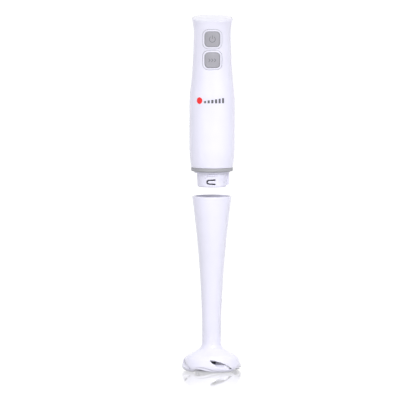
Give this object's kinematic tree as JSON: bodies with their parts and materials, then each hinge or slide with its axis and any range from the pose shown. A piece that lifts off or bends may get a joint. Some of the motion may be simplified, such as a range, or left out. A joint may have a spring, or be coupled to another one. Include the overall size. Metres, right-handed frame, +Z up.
{
  "type": "immersion blender",
  "caption": "Slim white hand blender with two square grey keys, a grey seal ring, a bayonet connector and a bell-footed leg that lifts away.",
  "frame": {"origin": "on the floor at the centre of the bell foot, on the axis of the leg and motor unit", "axes": "+Z up along the blender's axis, -Y towards the side with the keys, +X to the right seen from there"},
  "size_m": [0.0624, 0.0624, 0.3764],
  "materials": {
    "white_shell": "glossy white moulded plastic with a cool cast",
    "white_connector": "white moulded plastic, satin",
    "grey_keys": "mid-grey satin plastic",
    "grey_seal": "soft light-grey elastomer",
    "white_rubber": "soft white rubber",
    "black_rubber": "black rubber",
    "felt": "oiled felt",
    "cutter_steel": "ground stainless steel",
    "bright_steel": "bright drawn steel",
    "zinc_steel": "zinc-plated steel",
    "sintered_bronze": "oil-filled sintered bronze",
    "coupling_plastic": "black glass-filled nylon",
    "frame_plastic": "grey moulded nylon",
    "laminations": "varnished electrical steel",
    "ferrite": "sintered ferrite",
    "copper": "enamelled copper",
    "carbon": "pressed carbon",
    "board": "green glass-epoxy laminate",
    "switch_plastic": "black switch body",
    "plunger_plastic": "red switch plunger",
    "capacitor_case": "yellow film capacitor case",
    "choke_winding": "enamelled copper on a bobbin",
    "lead_insulation": "red wire insulation"
  },
  "bodies": {
    "leg": {"leg_tube": "white_shell", "socket_plate": "frame_plastic", "upper_bush": "sintered_bronze", "lower_bush": "sintered_bronze", "lip_seal": "black_rubber"},
    "cutter": {"leg_shaft": "bright_steel", "drive_dog": "coupling_plastic", "shaft_circlip": "bright_steel", "blade": "cutter_steel", "blade_hub": "coupling_plastic", "blade_nut": "coupling_plastic"},
    "seal": {"seal_ring": "grey_seal"},
    "motor_unit": {"front_housing": "white_shell", "rear_housing": "white_shell", "top_cap": "white_shell", "power_bezel": "white_shell", "turbo_bezel": "white_shell", "connector": "white_connector", "cord_inlet": "white_rubber", "lower_motor_mount": "black_rubber", "upper_motor_mount": "black_rubber", "shaft_felt": "felt", "front_bearing": "bright_steel", "rear_bearing": "bright_steel", "motor_can": "zinc_steel", "housing_screws": "zinc_steel", "clamp_screws": "zinc_steel", "motor_end_cap": "frame_plastic", "cord_clamp": "frame_plastic", "magnets": "ferrite", "carbon_brushes": "carbon", "circuit_board": "board", "power_switch": "switch_plastic", "turbo_switch": "switch_plastic", "rectifier": "switch_plastic", "suppression_capacitor": "capacitor_case", "choke": "choke_winding", "motor_leads": "lead_insulation"},
    "rotor": {"motor_shaft": "bright_steel", "armature_core": "laminations", "armature_coils": "copper", "commutator": "copper", "drive_cup": "coupling_plastic"},
    "power_key": {"power_button": "grey_keys", "power_plunger": "plunger_plastic"},
    "turbo_key": {"turbo_button": "grey_keys", "turbo_plunger": "plunger_plastic"}
  },
  "joints": [
    {"name": "leg_release", "type": "slide", "parent": "leg", "child": "seal", "axis": [0, 0, 1], "range_m": [-0.0263, 0.03]},
    {"name": "bayonet_twist", "type": "hinge", "parent": "seal", "child": "motor_unit", "pos_m": [0, 0, 0.21335], "axis": [0, 0, -1], "range_deg": [0, 30]},
    {"name": "motor_spin", "type": "hinge", "parent": "motor_unit", "child": "rotor", "pos_m": [0, 0, 0.24], "axis": [0, 0, 1], "continuous": true},
    {"name": "blade_spin", "type": "hinge", "parent": "leg", "child": "cutter", "pos_m": [0, 0, 0.1], "axis": [0, 0, 1], "continuous": true},
    {"name": "power_press", "type": "slide", "parent": "motor_unit", "child": "power_key", "axis": [0, 1, 0], "range_m": [0, 0.0015], "stiffness_N_per_m": 500, "springref_m": -0.002},
    {"name": "turbo_press", "type": "slide", "parent": "motor_unit", "child": "turbo_key", "axis": [0, 1, 0], "range_m": [0, 0.0015], "stiffness_N_per_m": 500, "springref_m": -0.002}
  ],
  "couplings": [
    {"joint": "blade_spin", "follows": "motor_spin", "ratio": 1}
  ]
}
